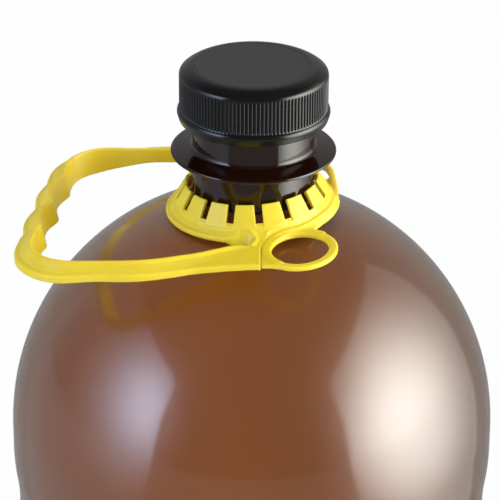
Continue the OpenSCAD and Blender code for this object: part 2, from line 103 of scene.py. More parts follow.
def box2(u, v, half_u, half_v, r):
    """Distance to a rectangle with corners of radius r."""
    qu, qv = np.abs(u) - half_u + r, np.abs(v) - half_v + r
    return np.hypot(np.maximum(qu, 0), np.maximum(qv, 0)) + np.minimum(np.maximum(qu, qv), 0) - r


def segment2(x, y, a, b):
    """Distance in plan to a straight line from a to b."""
    ax, ay = a
    dx, dy = b[0] - ax, b[1] - ay
    t = np.clip(((x - ax) * dx + (y - ay) * dy) / (dx * dx + dy * dy), 0, 1)
    return np.hypot(x - ax - t * dx, y - ay - t * dy)


def path2(x, y, points):
    """Distance in plan to a line through points."""
    d = segment2(x, y, points[0], points[1])
    for a, b in zip(points[1:-1], points[2:]):
        d = np.minimum(d, segment2(x, y, a, b))
    return d


def on_neck(p):
    """From the handle's frame to the bottle's: tilt by the sag, turn, lift to the datum."""
    x, y, z = p[:, 0], p[:, 1], p[:, 2]
    x, z = x * math.cos(SAG) - z * math.sin(SAG), x * math.sin(SAG) + z * math.cos(SAG)
    c, s = math.cos(TURN), math.sin(TURN)
    return np.stack([x * c - y * s, x * s + y * c, z + DATUM_Z], 1)


def make(name, points, faces, material, body, replaces, normals=None):
    """A piece from points in mm and faces, turned so that its faces look outwards."""
    points = np.asarray(points, float)
    first = points[[f[0] for f in faces]]
    volume = 0.0
    for k in range(1, 3):
        b = points[[f[k] for f in faces]]
        c = points[[f[min(k + 1, len(f) - 1)] for f in faces]]
        volume += np.einsum("ij,ij->i", first, np.cross(b, c)).sum()
    if volume < 0:
        faces = [f[::-1] for f in faces]
    mesh = bpy.data.meshes.new(name)
    mesh.from_pydata((points * MM).tolist(), [], faces)
    mesh.polygons.foreach_set("use_smooth", np.ones(len(faces), bool))
    mesh.materials.append(material)
    mesh.update()
    if normals is not None:
        mesh.normals_split_custom_set_from_vertices(normals.tolist())
    piece = bpy.data.objects.new(name, mesh)
    bpy.context.scene.collection.objects.link(piece)
    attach(piece, body)
    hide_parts(*replaces)


def rings_to_mesh(rings, start=None, end=None, loop=False):
    """Points and faces of rings[i, j], closed over j. start and end are points that close the
    first and last ring, loop joins the last ring to the first."""
    n, m, _ = rings.shape
    i = np.arange(n if loop else n - 1)[:, None]
    j = np.arange(m)[None, :]
    i2, j2 = (i + 1) % n, (j + 1) % m
    quads = np.stack([i * m + j, i * m + j2, i2 * m + j2, i2 * m + j], -1).reshape(-1, 4).tolist()
    points = rings.reshape(-1, 3)
    for pole, row, order in ((start, 0, -1), (end, n - 1, 1)):
        if pole is not None:
            at = len(points)
            points = np.vstack([points, pole])
            quads += [[row * m + a, row * m + (a + 1) % m, at][::order] for a in range(m)]
    return points, quads


def lathe(profile, columns=256):
    """Rings of a profile of (r, z) points turned about Z."""
    a = np.linspace(0, 2 * math.pi, columns, endpoint=False)
    r, z = profile[:, 0][:, None], profile[:, 1][:, None]
    return np.stack([r * np.cos(a), r * np.sin(a), z + 0 * a], -1)


def arc(cx, cy, r, a0, a1, n=12):
    """Points of an arc, angles in degrees."""
    a = np.radians(np.linspace(a0, a1, n + 1))
    return np.stack([cx + r * np.cos(a), cy + r * np.sin(a)], 1)


def net(distance, low, high, step):
    """Surface distance(x, y, h) = 0 in a box, as a net with one corner in each cell that the
    surface crosses, pulled onto the surface. Returns points, faces and exact normals."""
    axes = [np.arange(a, b + step, step) for a, b in zip(low, high)]
    f = distance(*np.meshgrid(*axes, indexing="ij"))
    cells = tuple(k - 1 for k in f.shape)
    total = np.zeros(cells + (3,))
    count = np.zeros(cells)
    crossings = []
    for axis in range(3):
        u, v = (axis + 1) % 3, (axis + 2) % 3
        lower = np.take(f, range(f.shape[axis] - 1), axis)
        upper = np.take(f, range(1, f.shape[axis]), axis)
        cross = (lower < 0) != (upper < 0)
        t = np.where(cross, lower / np.where(cross, lower - upper, 1), 0)
        crossings.append((cross, lower < 0))
        for du in (0, 1):
            for dv in (0, 1):
                part = [slice(None)] * 3
                part[u] = slice(du, du + cells[u])
                part[v] = slice(dv, dv + cells[v])
                c = cross[tuple(part)]
                total[..., axis] += t[tuple(part)] * c
                total[..., u] += du * c
                total[..., v] += dv * c
                count += c
    used = count > 0
    index = np.full(cells, -1)
    index[used] = np.arange(used.sum())
    where = np.argwhere(used) + total[used] / count[used][:, None]
    points = np.array(low, float) + where * step
    faces = []
    for axis, (cross, inside) in enumerate(crossings):
        u, v = (axis + 1) % 3, (axis + 2) % 3
        at = np.argwhere(cross)
        keep = (at[:, u] > 0) & (at[:, v] > 0) & (at[:, u] < cells[u]) & (at[:, v] < cells[v])
        at = at[keep]
        flip = inside[tuple(at.T)]
        corners = []
        for du, dv in ((-1, -1), (0, -1), (0, 0), (-1, 0)):
            q = at.copy()
            q[:, u] += du
            q[:, v] += dv
            corners.append(index[tuple(q.T)])
        quad = np.stack(corners, 1)
        quad[~flip] = quad[~flip][:, ::-1]
        faces.append(quad)
    for _ in range(3):
        g, d = slope(distance, points)
        points = points - np.clip(d, -step, step)[:, None] * g
    return points, np.vstack(faces).tolist(), slope(distance, points)[0]


def slope(distance, p, e=0.04):
    """Unit direction in which a distance grows, and the distance over its growth."""
    value = distance(*p.T)
    g = np.stack([distance(*(p + e * np.eye(3)[k]).T) - distance(*(p - e * np.eye(3)[k]).T)
                  for k in range(3)], 1) / (2 * e)
    length = np.maximum(np.linalg.norm(g, axis=1), 0.2)
    return g / length[:, None], value / length


# ---- materials ----------------------------------------------------------------------------

def material(name, colour, roughness, **settings):
    """A Principled material; settings name sockets, with _ for a space."""
    m = bpy.data.materials.new(name)
    m.use_nodes = True
    shader = m.node_tree.nodes["Principled BSDF"]
    shader.inputs["Base Color"].default_value = rgb(colour)
    shader.inputs["Roughness"].default_value = roughness
    for key, value in settings.items():
        shader.inputs[key.replace("_", " ")].default_value = value
    return m, shader


def add(tree, kind, inputs=None, **attributes):
    """One node, with values or links for its inputs."""
    node = tree.nodes.new("ShaderNode" + kind)
    for key, value in attributes.items():
        setattr(node, key, value)
    for key, value in (inputs or {}).items():
        if isinstance(value, bpy.types.NodeSocket):
            tree.links.new(value, node.inputs[key])
        else:
            node.inputs[key].default_value = value
    return node


def grain(tree, shader, scale_mm, height_mm, strength=1.0):
    """Fine moulded surface relief, a bump of noise of a real size."""
    place = add(tree, "TexCoord")
    noise = add(tree, "TexNoise", {"Vector": place.outputs["Object"],
                                   "Scale": 1 / (scale_mm * MM), "Detail": 2.0})
    bump = add(tree, "Bump", {"Height": noise.outputs["Fac"], "Distance": height_mm * MM,
                              "Strength": strength})
    tree.links.new(bump.outputs["Normal"], shader.inputs["Normal"])


def varied(tree, shader, socket, base, spread, scale_mm):
    """A constant socket such as roughness, varied softly by noise of a real size."""
    place = add(tree, "TexCoord")
    noise = add(tree, "TexNoise", {"Vector": place.outputs["Object"],
                                   "Scale": 1 / (scale_mm * MM), "Detail": 3.0})
    value = add(tree, "MapRange", {"Value": noise.outputs["Fac"], "From Min": 0.3, "From Max": 0.7,
                                   "To Min": base - spread, "To Max": base + spread})
    tree.links.new(value.outputs["Result"], shader.inputs[socket])


# Heights between which the amber of the dome deepens to that of the thick neck: partly the thicker
# wall, partly painted shade under the collar
THICK_AND_SHADE_FROM_Z, THICK_AND_SHADE_FULL_Z = 304.0, 307.2
# Radius of the matte disc on the cap, and where its soft edge ends
DISC_R, DISC_EDGE_R = 22.9, 26.2


def amber_pet():
    """Clear amber PET, blown thin: hazy see-through brown under a hard gloss."""
    m, shader = material("amber PET, blown", "#B4855C", 0.3, Transmission_Weight=1.0, IOR=1.57,
                         Coat_Weight=1.0, Coat_Roughness=0.03, Coat_IOR=1.5)
    tree = m.node_tree
    place = add(tree, "TexCoord")
    # faint flow lines that run up the bottle from the stretching of the preform
    stretch = add(tree, "Mapping", {"Vector": place.outputs["Object"], "Scale": (9.0, 9.0, 1.4)})
    flow = add(tree, "TexNoise", {"Vector": stretch.outputs["Vector"], "Scale": 1.6, "Detail": 4.0,
                                  "Roughness": 0.6})
    bump = add(tree, "Bump", {"Height": flow.outputs["Fac"], "Distance": 0.0007, "Strength": 0.35})
    tree.links.new(bump.outputs["Normal"], shader.inputs["Coat Normal"])
    tree.links.new(bump.outputs["Normal"], shader.inputs["Normal"])
    tint = add(tree, "MapRange", {"Value": flow.outputs["Fac"], "From Min": 0.3, "From Max": 0.7})
    colour = add(tree, "Mix", {"Factor": tint.outputs["Result"], 6: rgb("#C08E60"),
                               7: rgb("#B38459")}, data_type="RGBA")
    # the wall thickens towards the neck, and the colour deepens with it; the dark brown is also
    # painted shade under the collar and in its slots
    parts = add(tree, "SeparateXYZ", {"Vector": place.outputs["Object"]})
    thick = add(tree, "MapRange", {"Value": parts.outputs["Z"], "From Min": THICK_AND_SHADE_FROM_Z * MM,
                                   "From Max": THICK_AND_SHADE_FULL_Z * MM})
    deep_and_shaded = add(tree, "Mix", {"Factor": thick.outputs["Result"], 6: colour.outputs[2],
                             7: rgb("#6E4526")}, data_type="RGBA")
    tree.links.new(deep_and_shaded.outputs[2], shader.inputs["Base Color"])
    return m


def neck_pet():
    """The same PET where it wasn't blown: over 3 mm thick, so it looks nearly black."""
    m, shader = material("amber PET, thick neck", "#2A130C", 0.06, Transmission_Weight=0.55,
                         IOR=1.57)
    grain(m.node_tree, shader, 6.0, 0.02, 0.4)
    varied(m.node_tree, shader, "Roughness", 0.06, 0.02, 12.0)
    return m


def cap_plastic():
    """Moulded black polyolefin: satin gloss, and a spark-eroded matte disc on top."""
    m, shader = material("black cap plastic", "#0E0E0F", 0.19, IOR=1.5)
    tree = m.node_tree
    place = add(tree, "TexCoord")
    parts = add(tree, "SeparateXYZ", {"Vector": place.outputs["Object"]})
    flat = add(tree, "CombineXYZ", {"X": parts.outputs["X"], "Y": parts.outputs["Y"]})
    radius = add(tree, "VectorMath", {0: flat.outputs["Vector"]}, operation="LENGTH")
    disc = add(tree, "MapRange", {"Value": radius.outputs["Value"], "From Min": DISC_R * MM,
                                  "From Max": DISC_EDGE_R * MM, "To Min": 1.0, "To Max": 0.0})
    noise = add(tree, "TexNoise", {"Vector": place.outputs["Object"], "Scale": 4200.0,
                                   "Detail": 1.0})
    rough = add(tree, "MapRange", {"Value": disc.outputs["Result"], "To Min": 0.19,
                                   "To Max": 0.58})
    tree.links.new(rough.outputs["Result"], shader.inputs["Roughness"])
    colour = add(tree, "Mix", {"Factor": disc.outputs["Result"], 6: rgb("#0E0E0F"),
                               7: rgb("#343435")}, data_type="RGBA")
    tree.links.new(colour.outputs[2], shader.inputs["Base Color"])
    depth = add(tree, "MapRange", {"Value": disc.outputs["Result"], "To Min": 0.12,
                                   "To Max": 1.0})
    height = add(tree, "Math", {0: noise.outputs["Fac"], 1: depth.outputs["Result"]},
                 operation="MULTIPLY")
    bump = add(tree, "Bump", {"Height": height.outputs[0], "Distance": 0.00006, "Strength": 0.7})
    tree.links.new(bump.outputs["Normal"], shader.inputs["Normal"])
    return m


def handle_plastic():
    """Moulded yellow polyethylene: satin, slightly see-through, so thin edges glow warm."""
    m, shader = material("yellow handle plastic", "#EBCF2C", 0.36, IOR=1.5,
                         Subsurface_Weight=0.35, Subsurface_Scale=0.0035)
    shader.inputs["Subsurface Radius"].default_value = (1.0, 0.62, 0.12)
    tree = m.node_tree
    place = add(tree, "TexCoord")
    cloud = add(tree, "TexNoise", {"Vector": place.outputs["Object"], "Scale": 60.0,
                                   "Detail": 2.0})
    tint = add(tree, "MapRange", {"Value": cloud.outputs["Fac"], "From Min": 0.35,
                                  "From Max": 0.65})
    colour = add(tree, "Mix", {"Factor": tint.outputs["Result"], 6: rgb("#E9CC2A"),
                               7: rgb("#EFD537")}, data_type="RGBA")
    tree.links.new(colour.outputs[2], shader.inputs["Base Color"])
    varied(tree, shader, "Roughness", 0.36, 0.05, 9.0)
    grain(tree, shader, 0.5, 0.012, 0.5)
    return m


def liner_foam():
    """Soft white sealing disc."""
    m, shader = material("sealing disc", "#DAD8D0", 0.7)
    grain(m.node_tree, shader, 0.3, 0.03)
    return m


AMBER, NECK, CAP, YELLOW, LINER = (amber_pet(), neck_pet(), cap_plastic(), handle_plastic(),
                                   liner_foam())
for surface, names in ((NECK, ("neck_finish", "support_flange")),
                       (AMBER, ("neck_flare", "shoulder_dome", "body_wall", "petaloid_base")),
                       (CAP, ("screw_cap",)), (LINER, ("cap_liner",)),
                       (YELLOW, ("snap_collar", "hinge_necks", "tear_strap", "pull_loop",
                                 "front_arm", "rear_arm", "finger_grip"))):
    for name in names:
        NODES[name].data.materials.clear()
        NODES[name].data.materials.append(surface)


# ---- bottle -------------------------------------------------------------------------------

# Height inside the collar where the thick neck is taken to end
NECK_END_Z = 317.0
# Radii of the neck, the flare and the dome, outside and inside
OUTSIDE = (NECK_R, FLARE_R, BODY_R)
INSIDE = (BORE_R, FLARE_R + NECK_R - BORE_R, BODY_R - WALL)
FLANGE_R, FLANGE_EDGE_R = 34.0, 0.75
# Thread: height of its first turn, distance between turns, turns, height of the ridge
THREAD_Z, LEAD, THREAD_TURNS, RIDGE_H = FLANGE_Z + 21.0, 5.0, 1.5, 1.9


def dome_angle(neck, bend, dome):
    """Angle over the widest line, in degrees, at which the flare meets the dome."""
    return math.degrees(math.acos((neck + bend) / (dome + bend)))


def flare(neck, bend, dome, upper):
    """Profile of the flare from neck to dome, an arc of radius bend: the part above the end of
    the thick neck, or the part below."""
    z = EQUATOR_Z + math.sqrt((dome + bend) ** 2 - (neck + bend) ** 2)
    split = 180 + math.degrees(math.asin((z - NECK_END_Z) / bend))
    if upper:
        return arc(neck + bend, z, bend, 180, split, 16)
    return arc(neck + bend, z, bend, split, 180 + dome_angle(neck, bend, dome), 12)


def neck_piece():
    """Neck with its flange: fillets where they meet, a rounded edge, a helical thread under
    the cap: r grows by RIDGE_H where the height is within a ridge of the helix."""
    outer = np.vstack([
        # sealing lip and neck
        [[BORE_R + 0.4, LIP_Z], [NECK_R - 0.5, LIP_Z]],
        arc(NECK_R - 0.5, LIP_Z - 0.5, 0.5, 90, 0, 4),
        [[NECK_R, z] for z in np.linspace(LIP_Z - 1, FLANGE_Z + 4.2, 90)],
        # flange: fillet, upper face that falls outwards, edge, lower face, fillet
        arc(NECK_R + 2.0, FLANGE_Z + 3.2, 2.0, 180, 255, 8),
        [[r, mix(FLANGE_Z + 1.15, FLANGE_Z, (r - 27) / 6.3)] for r in np.linspace(27.5, 33.2, 6)],
        arc(FLANGE_R - FLANGE_EDGE_R, FLANGE_Z - FLANGE_EDGE_R, FLANGE_EDGE_R, 85, -85, 10),
        [[r, mix(FLANGE_Z - 1.5, FLANGE_Z - 2.8, (33.2 - r) / 6.5)]
         for r in np.linspace(33.0, 27.2, 5)],
        arc(NECK_R + 1.6, FLANGE_Z - 4.6, 1.6, 100, 180, 8),
        [[NECK_R, FLANGE_Z - 7.0], [NECK_R, FLANGE_Z - 10.0]],
        flare(*OUTSIDE, upper=True)])
    inner = np.vstack([
        flare(*INSIDE, upper=True)[::-1],
        [[BORE_R, z] for z in np.linspace(FLANGE_Z - 8, LIP_Z - 0.4, 12)]])
    rings = lathe(np.vstack([outer, inner]), 360)
    z = rings[..., 2]
    a = np.arctan2(rings[..., 1], rings[..., 0]) % (2 * math.pi)
    turn = (z - THREAD_Z) / LEAD - a / (2 * math.pi)
    along = np.round(turn) + a / (2 * math.pi)
    off = np.abs(turn - np.round(turn)) * LEAD
    fade = smooth(np.minimum(along, THREAD_TURNS - along) / 0.08)
    ridge = RIDGE_H * (1 - smooth((off - 0.55) / 0.65)) * fade
    row = np.arange(len(rings))[:, None] < len(outer)
    band = (z > THREAD_Z - 3) & (z < LIP_Z - 1.2) & row
    r = np.hypot(rings[..., 0], rings[..., 1])
    grow = np.where(band, 1 + ridge / r, 1)
    rings[..., 0] *= grow
    rings[..., 1] *= grow
    points, faces = rings_to_mesh(rings, loop=True)
    make("neck", points, faces, NECK, "bottle", ["neck_finish", "support_flange"])


FEET = 5
# Feet: distance from the axis, radius of the round end and at the top, and their heights
FOOT_RING_R, FOOT_END_R, FOOT_TOP_R = 64.0, 15.0, 43.5
FOOT_MID_Z, FOOT_TOP_Z = 14.2, 97.9
# Radius of the side that the feet share, in a vertical cut
FOOT_SIDE_R = 217.0
# Label panel: depth, radius of its soft steps, plain band over it
PANEL_DEPTH, STEP_R, BAND_H = 2.0, 80, 10


def base_distance(x, y, z, inset):
    """Round base: a half sphere of the body's radius joined softly to five cones with round
    ends, inside the drawn-in side that the feet share, flat at the floor."""
    a = np.arctan2(y, x)
    rho = np.hypot(x, y)
    pitch = 2 * math.pi / FEET
    a = (a % pitch) - pitch / 2
    fx, fy = rho * np.cos(a) - FOOT_RING_R, rho * np.sin(a)
    widen = (FOOT_TOP_R - FOOT_END_R) / (FOOT_TOP_Z - FOOT_MID_Z)
    r = FOOT_END_R + widen * np.maximum(z - FOOT_MID_Z, 0)
    foot = (np.sqrt(fx ** 2 + fy ** 2 + np.minimum(z - FOOT_MID_Z, 0) ** 2) - r) * 0.95
    side = np.hypot(rho - (BODY_R - FOOT_SIDE_R), z - BASE_Z) - FOOT_SIDE_R
    foot = smax(foot, side, 5.0)
    dome = np.sqrt(rho ** 2 + (z - BASE_Z) ** 2) - BODY_R
    return smax(smin(dome, foot, 9.0), -z, 0.8) + inset


def base_rings(inset, columns, rows):
    """The base as seen from the middle of its dome: along each direction the surface lies where
    the distance is 0, found by halving."""
    pole = np.radians(np.linspace(90, 0, rows + 1))[1:-1][:, None]
    a = np.linspace(0, 2 * math.pi, columns, endpoint=False)[None, :]
    d = np.stack([np.sin(pole) * np.cos(a), np.sin(pole) * np.sin(a), -np.cos(pole) + 0 * a], -1)
    low, high = np.full(d.shape[:2], 80.0), np.full(d.shape[:2], 150.0)
    for _ in range(30):
        t = (low + high) / 2
        outside = base_distance(d[..., 0] * t, d[..., 1] * t, BASE_Z + d[..., 2] * t, inset) > 0
        high = np.where(outside, t, high)
        low = np.where(outside, low, t)
    p = d * t[..., None]
    p[..., 2] += BASE_Z
    # the skin thins out of the soft joint at the widest line without a step
    full = smooth(np.degrees(np.pi / 2 - pole) / 12)
    side = d * (BODY_R - inset)
    side[..., 2] += BASE_Z
    p = side + (p - side) * full[..., None]
    bottom = np.array([[0, 0, BASE_Z - (BODY_R - inset)]])
    return p, bottom


def body_profile(radii):
    """Outer or inner side of the bottle, from the flare to the widest line of the base."""
    r = radii[-1]
    top = flare(*radii, upper=False)
    dome = arc(0, EQUATOR_Z, r, dome_angle(*radii), 0, 60)[1:]
    step_a = math.degrees(math.acos(1 - PANEL_DEPTH / (2 * STEP_R)))
    step_z = EQUATOR_Z - BAND_H - 2 * STEP_R * math.sin(math.radians(step_a))
    down = np.vstack([arc(r - STEP_R, EQUATOR_Z - BAND_H, STEP_R, 0, -step_a, 9),
                      arc(r - PANEL_DEPTH + STEP_R, step_z, STEP_R, 180 - step_a, 180, 9)[1:]])
    up = down[::-1].copy()
    up[:, 1] = EQUATOR_Z + BASE_Z - up[:, 1]
    return np.vstack([top, dome, down, up, [[r, BASE_Z]]])


def body_piece():
    columns, rows = 240, 56
    outer = lathe(body_profile(OUTSIDE), columns)
    inner = lathe(body_profile(INSIDE), columns)
    out_base, out_pole = base_rings(0, columns, rows)
    in_base, in_pole = base_rings(WALL, columns, rows)
    rings = np.concatenate([out_base[::-1], outer[::-1], inner, in_base])
    points, faces = rings_to_mesh(rings, out_pole, in_pole)
    make("blown_body", points, faces, AMBER, "bottle",
         ["neck_flare", "shoulder_dome", "body_wall", "petaloid_base"])


# ---- cap ----------------------------------------------------------------------------------

CAP_TOP_Z = LIP_Z + 4.2
RIB_TOP_Z = CAP_TOP_Z - 3.9
BEAD_TOP_Z = RIB_TOP_Z - 14.5
CAP_FOOT_Z = BEAD_TOP_Z - 4.9
# Grip ribs: number, radius of their crests, height; bead: how far it stands out, roundness
RIBS = 120
CREST_R, RIB_H = 30.45, 0.6
BEAD_OUT, BEAD_R = 0.9, 1.8
# Depth of the disc, thickness of the top, radius inside
DISC_DEPTH, CAP_TOP_T, CAP_BORE_R = 0.12, 2.8, 27.35


def cap_piece():
    """Ribbed cap: between the ribs the wall steps in, r = crest - RIB_H s(distance from the
    crest), fading out at both ends of the ribs."""
    # shoulder: a wide arc, then a tight one that ends upright at the ribs
    tight, turn = 2.0, math.radians(40)
    wide = (CREST_R - DISC_R - tight * (1 - math.sin(turn))) / math.sin(turn)
    tight_z = CAP_TOP_Z - wide + (wide - tight) * math.cos(turn)
    shoulder = np.vstack([arc(DISC_R, CAP_TOP_Z - wide, wide, 90, 50, 12),
                          arc(CREST_R - tight, tight_z, tight, 50, 4, 8)[1:]])
    profile = np.vstack([
        [[r, CAP_TOP_Z - DISC_DEPTH] for r in np.linspace(1.0, DISC_R - 0.5, 8)],
        [[DISC_R - 0.15, CAP_TOP_Z - 0.1], [DISC_R, CAP_TOP_Z]],
        shoulder[1:],
        [[CREST_R + 0.05, z] for z in np.linspace(RIB_TOP_Z - 0.25, RIB_TOP_Z - 1.4, 5)],
        [[CREST_R, z] for z in np.linspace(RIB_TOP_Z - 2.5, BEAD_TOP_Z + 1.2, 9)],
        [[CREST_R, BEAD_TOP_Z + 0.9], [CREST_R, BEAD_TOP_Z + 0.6], [CREST_R, BEAD_TOP_Z + 0.35]],
        arc(CREST_R + BEAD_OUT - BEAD_R, BEAD_TOP_Z - 1.6, BEAD_R, 62, -38, 12),
        [[CREST_R + 0.25, CAP_FOOT_Z + 0.8]],
        arc(CREST_R - 0.45, CAP_FOOT_Z + 0.5, 0.5, 0, -90, 5),
        [[CAP_BORE_R + 0.55, CAP_FOOT_Z], [CAP_BORE_R, CAP_FOOT_Z + 0.5],
         [CAP_BORE_R, CAP_FOOT_Z + 6], [CAP_BORE_R, CAP_TOP_Z - 4.0],
         [26.2, CAP_TOP_Z - CAP_TOP_T], [1.0, CAP_TOP_Z - CAP_TOP_T]]])
    rings = lathe(profile, RIBS * 10)
    z = rings[..., 2]
    r = np.hypot(rings[..., 0], rings[..., 1])
    a = np.arctan2(rings[..., 1], rings[..., 0])
    s = np.abs((a * RIBS / (2 * math.pi)) % 1 - 0.5) * 2
    groove = smooth((s - 0.3) / 0.5)
    window = smooth((RIB_TOP_Z - 0.1 - z) / 0.5) * smooth((z - BEAD_TOP_Z - 0.3) / 0.5)
    grow = np.where(r > 29, 1 - RIB_H * groove * window / r, 1)
    rings[..., 0] *= grow
    rings[..., 1] *= grow
    points, faces = rings_to_mesh(rings, np.array([[0, 0, CAP_TOP_Z - DISC_DEPTH]]),
                                  np.array([[0, 0, CAP_TOP_Z - CAP_TOP_T]]))
    make("ribbed_cap", points, faces, CAP, "cap", ["screw_cap"])


# ---- handle: collar -----------------------------------------------------------------------

# Fingers: number, half the width of a slot, foot and tip of the cone (r, height), height along
# the cone at which the slots end
FINGERS, SLOT_HALF = 16, 1.55
CONE_FOOT, CONE_TIP, SLOT_END = (33.6, 0.1), (26.75, 11.0), 5.5
# Where the skirt leaves the cone (r, height), and how far out it reaches
SKIRT_FOOT, SKIRT_W = (31.9, 3.9), 5.6
# Rim on the side of the bail: radius, and depth of its underside; depth of the hinge plates
RIM_R, RIM_DROP, WALL_DROP = 36.1, 1.4, 3.4
# Middle of the round end of the slot between the rim and the arm
TURN_X, TURN_Y = 1.75, 38.65
# Pull loop: middle, half width and half length of the hole, width and thickness of the ring
LOOP, HOLE_A, HOLE_B = (24.8, -42.3), 11.4, 13.9
RING_W, RING_T = 3.9, 2.2
# Lines in plan: where the tab and the strap tear off, and the loose end of the strap
TEAR = [(11.4, -59.5), (10.7, -55), (9.8, -50), (9.2, -45), (9.1, -42), (9.4, -38.5), (10.2, -35),
        (12.3, -31.8), (15.7, -29.3), (21.5, -25.4), (25.7, -20.7), (28.6, -15.5), (31.1, -8.5),
        (32.1, -1), (31.3, 7.5), (29.0, 13.8)]
STRAP_END = [(34.2, 3.5), (33.0, 12.0), (30.6, 24.0), (29.0, 31.0), (26.9, 36.2), (23.5, 40.0),
             (18.5, 42.0), (9.8, 42.8)]
# Outlines in plan: the tab, the floor between the cone and the strap, and the gap between the
# strap and the loop, which starts at the radius NOTCH_R
TAB = [(11.45, -58.3), (17.6, -58.3), (24.8, -44.0), (33.5, -27.0), (30.0, -17.0), (6.0, -25.0),
       (6.0, -41.4)]
VALLEY = [(33.4, -6.0), (34.2, 3.5), (33.2, 11.0), (30.9, 22.0), (29.8, 27.5), (25.0, 22.0),
          (29.0, 8.0), (31.0, -6.0)]
NOTCH, NOTCH_R = [(28.4, -23.8), (60.0, -42.0), (60.0, 20.0), (40.0, 10.0)], 35.8


def wrap(a, period):
    """An angle brought to within half a period of 0."""
    return (a + period / 2) % period - period / 2


def fingers_distance(r, a, h):
    """Cone wall, 1.36 mm thick, cut into fingers by slots of constant width. s runs up the
    cone, n out of it, and across round it, from the middle of the nearest slot."""
    foot, tip = np.array(CONE_FOOT), np.array(CONE_TIP)
    length = np.linalg.norm(tip - foot)
    d = (tip - foot) / length
    s = (r - foot[0]) * d[0] + (h - foot[1]) * d[1]
    n = (r - foot[0]) * d[1] - (h - foot[1]) * d[0]
    low = 3.2
    cone = box2(n, s - (length + low) / 2, 0.68, (length - low) / 2, 0.3)
    # finger pads are a touch thicker than the ring that joins them
    across = wrap(a - math.radians(-88 + 180 / FINGERS), 2 * math.pi / FINGERS) * r
    pad = smax(box2(n - 0.25, s - 8.2, 0.75, 4.9, 0.3), SLOT_HALF - np.abs(across), 0.3)
    slot = np.maximum(np.abs(across) - SLOT_HALF, SLOT_END - s)
    return smax(smin(cone, pad, 0.3), -slot, 0.35)


def skirt_height(r):
    """Top of the skirt below the fingers: height (1 - t)^2.2, with t from 0 to 1 across it."""
    return SKIRT_FOOT[1] * (1 - np.clip((r - SKIRT_FOOT[0]) / SKIRT_W, 0, 1)) ** 2.2


def hinge_height(x, y):
    """Top of the skirt and hinge plate with the bowl that ends the slot: a ridge runs round the
    bowl, whose wall is steep beside the plate and leans back towards the neck."""
    y = np.abs(y)
    ux, uy = np.maximum(x - TURN_X, 0), TURN_Y - y
    u = np.where(x > TURN_X, np.hypot(ux, uy), uy)
    back = smooth(uy / np.maximum(np.abs(u), 0.1) * 1.15)
    along = smooth((-x - 0.5) / 6.0)
    steep = mix(3.9, mix(1.9, 6.0, along), back)
    ridge = np.exp(-((u - mix(4.1, mix(5.9, 4.2, along), back)) / 1.1) ** 2)
    ridge = ridge * mix(0.85, 0.7, back) * (1 - along) * smooth((9.5 - x) / 3)
    return smin(skirt_height(np.hypot(x, y)) + ridge, (u - 2.4) * steep - WALL_DROP, 0.8)


def sheet(top, h, x, y, thick):
    """Distance to a sheet of a given thickness under the height top(x, y). Where the sheet is
    steep the thickness is taken square to it."""
    e = 0.05
    t = top(x, y)
    sx = (top(x + e, y) - top(x - e, y)) / (2 * e)
    sy = (top(x, y + e) - top(x, y - e)) / (2 * e)
    c = np.minimum(np.sqrt(1 + sx ** 2 + sy ** 2), 4.5)
    foot = mix(RIM_DROP, WALL_DROP, smooth((x + 8.5) / 8))
    under = np.maximum(t - thick * c, -foot)
    return smax((h - t) / c, (under - h) / c, 0.3)


def polygon2(x, y, corners):
    """Distance to a convex polygon in plan, its corners in turn."""
    d = None
    for (ax, ay), (bx, by) in zip(corners, corners[1:] + corners[:1]):
        nx, ny = by - ay, ax - bx
        size = math.hypot(nx, ny)
        side = ((x - ax) * nx + (y - ay) * ny) / size
        d = side if d is None else np.maximum(d, side)
    return d


def slab(plan, h, low, high, r):
    """Extrusion of a plan distance with rounded edges."""
    v = np.abs(h - (low + high) / 2) - (high - low) / 2
    qu, qv = plan + r, v + r
    return np.hypot(np.maximum(qu, 0), np.maximum(qv, 0)) + np.minimum(np.maximum(qu, qv), 0) - r


def oval(x, y, grow=0.0):
    """Distance to the edge of the loop's hole, an ellipse, let out by grow."""
    a, b = HOLE_A + grow, HOLE_B + grow
    x, y = x - LOOP[0], y - LOOP[1]
    k = np.hypot(x / a, y / b)
    return (k - 1) * k / np.maximum(np.hypot(x / a ** 2, y / b ** 2), 1e-4)


def sector(a, r, start, end):
    """Distance outside the angles start to end, in degrees, along the ring."""
    middle, half = math.radians((start + end) / 2), math.radians(end - start) / 2
    return (np.abs(wrap(a - middle, 2 * math.pi)) - half) * r


